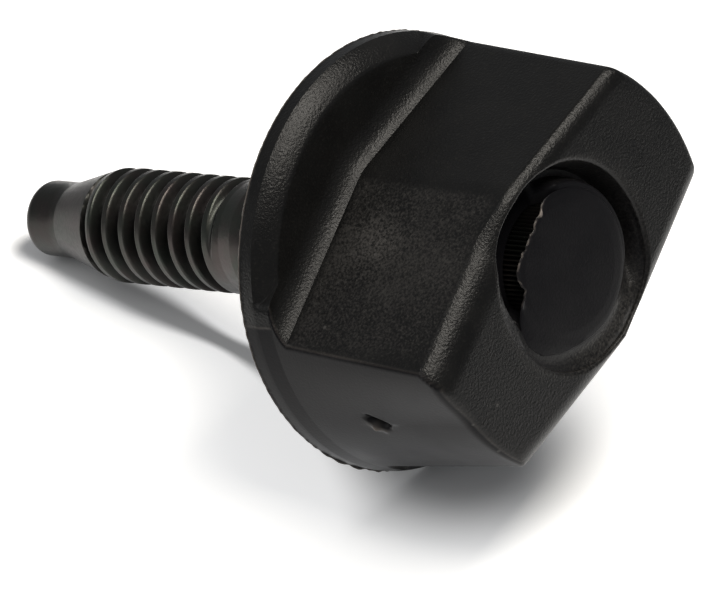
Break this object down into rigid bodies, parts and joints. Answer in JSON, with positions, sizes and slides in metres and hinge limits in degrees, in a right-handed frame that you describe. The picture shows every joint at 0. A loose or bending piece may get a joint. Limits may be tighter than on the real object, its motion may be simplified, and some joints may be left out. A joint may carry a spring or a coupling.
{
  "type": "air cleaner knob",
  "caption": "Thumb knob with a flat-sided tapered grip on a round flange, moulded around a threaded steel stud with a dog point.",
  "frame": {"origin": "centre of the grip's flat front face, on the axis of the stud", "axes": "+Z along the stud from the grip's front to the dog point, +X along the bar of the grip"},
  "size_m": [0.023, 0.023, 0.0387],
  "materials": {
    "plastic": "moulded, finely grained, charcoal black",
    "stud_steel": "dark passivated steel with a faint iridescent sheen"
  },
  "bodies": {
    "root": {"knob_body": "plastic", "stud": "stud_steel"}
  },
  "joints": []
}
